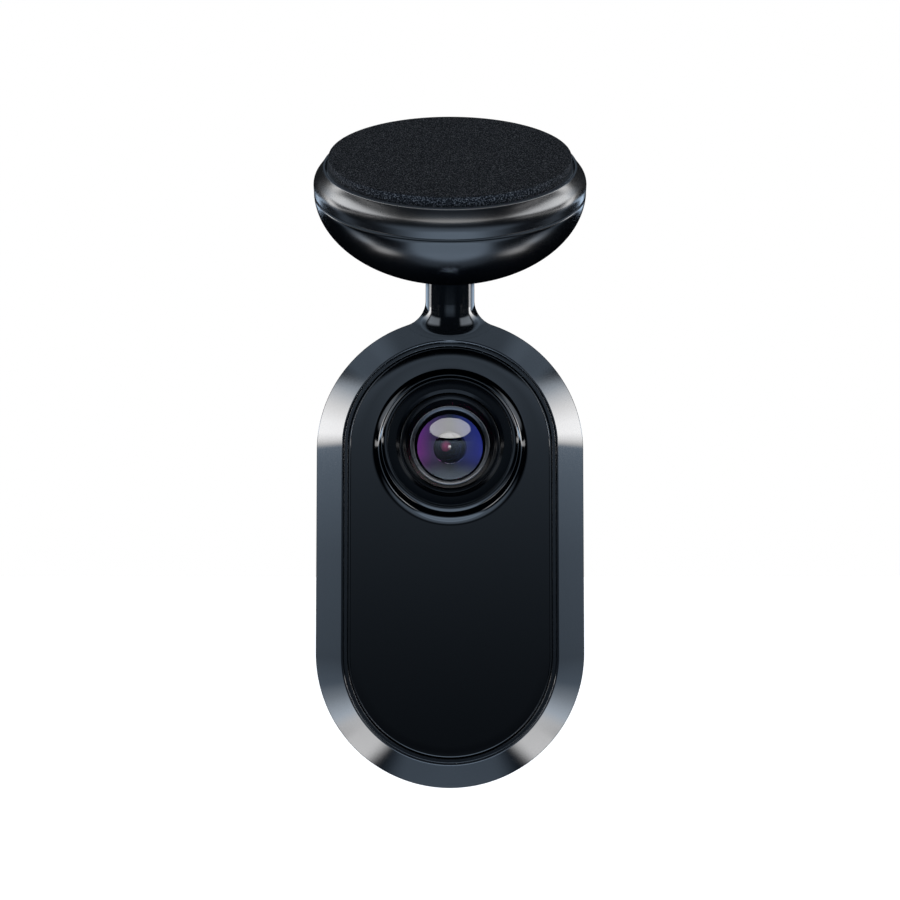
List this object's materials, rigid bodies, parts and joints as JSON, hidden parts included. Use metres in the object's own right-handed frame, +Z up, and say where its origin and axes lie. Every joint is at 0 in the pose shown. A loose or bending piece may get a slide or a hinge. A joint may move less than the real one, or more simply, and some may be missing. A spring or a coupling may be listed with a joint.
{
  "type": "dash camera",
  "caption": "Small upright in-car camera with a proud round lens on a face plate, hanging from a domed ball-joint windscreen pad.",
  "frame": {"origin": "centre of the windscreen pad's adhesive face", "axes": "+Z up with the camera body upright, -Y the way the lens looks, +X to the right seen from in front of the lens"},
  "size_m": [0.0387, 0.0386, 0.0989],
  "materials": {
    "foam": "fine open-cell foam, matt",
    "mount_gloss": "polished black",
    "mount_plain": "fine moulded grain",
    "steel": "brushed",
    "cup_plastic": "glass-filled, dull",
    "housing": "satin gunmetal paint",
    "cover": "fine spark texture",
    "seal": "soft",
    "plate": "polished black",
    "frame": "satin",
    "trim": "matt anodised look",
    "barrel": "black anodised",
    "retainer": "satin dark anodised",
    "glass_front": "coated, purple and blue reflections",
    "glass_inner": "coated",
    "glass_red": "infrared cut filter",
    "black_plastic": "dull",
    "chip": "dull epoxy",
    "sensor": "sensor cover glass",
    "board": "green solder mask",
    "polyimide": "amber film",
    "alloy": "mill finish",
    "tinned": "tinned",
    "pad": "soft, dull",
    "ceramic": "unglazed",
    "cell": "blue wrapped foil",
    "gold": "plated",
    "button": "soft matt",
    "led": "clear"
  },
  "bodies": {
    "mount": {"foam_pad": "foam", "pad_carrier": "mount_plain", "mount_collar": "mount_gloss", "mount_dome": "mount_gloss", "mount_screws": "steel", "disc_spring": "steel"},
    "swivel_cup": {"ball_cup": "cup_plastic", "pressure_cup": "cup_plastic"},
    "stud": {"ball_stud": "steel", "stud_nut": "steel", "friction_washer": "steel"},
    "camera": {"front_housing": "housing", "rear_cover": "cover", "rear_seal": "seal", "housing_screws": "steel", "face_plate": "plate", "face_frame": "frame", "lens_trim_ring": "trim", "lens_barrel": "barrel", "lens_retainer": "retainer", "front_lens": "glass_front", "lens_spacer": "barrel", "aperture_stop": "barrel", "middle_lens": "glass_inner", "rear_lens": "glass_inner", "lens_holder": "black_plastic", "ir_filter": "glass_red", "image_sensor": "sensor", "sensor_board": "board", "sensor_screws": "steel", "flex_cable": "polyimide", "heat_spreader": "alloy", "thermal_pad": "pad", "main_board": "board", "board_screws": "steel", "processor": "chip", "memory_chips": "chip", "shield_can": "tinned", "radio_module": "chip", "gps_antenna": "ceramic", "battery_cell": "cell", "speaker": "black_plastic", "microphone": "gold", "usb_c_shell": "tinned", "usb_c_tongue": "black_plastic", "card_socket": "tinned", "button_switch": "tinned", "power_switch": "tinned", "status_led": "led", "light_pipe": "led"},
    "rear_button": {"rear_button": "button"},
    "power_button": {"power_button": "button"},
    "memory_card": {"memory_card": "chip"}
  },
  "joints": [
    {"name": "mount_swivel", "type": "hinge", "parent": "mount", "child": "swivel_cup", "pos_m": [0, 0.0061, -0.00792], "axis": [0, 0.6101, -0.7923], "continuous": true},
    {"name": "ball_tilt", "type": "hinge", "parent": "swivel_cup", "child": "stud", "pos_m": [0, 0.0061, -0.00792], "axis": [1, 0, 0], "range_deg": [-2.4, 77.6]},
    {"name": "stem_spin", "type": "hinge", "parent": "stud", "child": "camera", "pos_m": [0, 0.0061, -0.00792], "axis": [0, 0, 1], "continuous": true},
    {"name": "rear_button_press", "type": "slide", "parent": "camera", "child": "rear_button", "axis": [0, -1, 0], "range_m": [0, 0.0004], "stiffness_N_per_m": 4000},
    {"name": "power_button_press", "type": "slide", "parent": "camera", "child": "power_button", "axis": [1, 0, 0], "range_m": [0, 0.0004], "stiffness_N_per_m": 4000},
    {"name": "card_slide", "type": "slide", "parent": "camera", "child": "memory_card", "axis": [-1, 0, 0], "range_m": [0, 0.0145]}
  ]
}
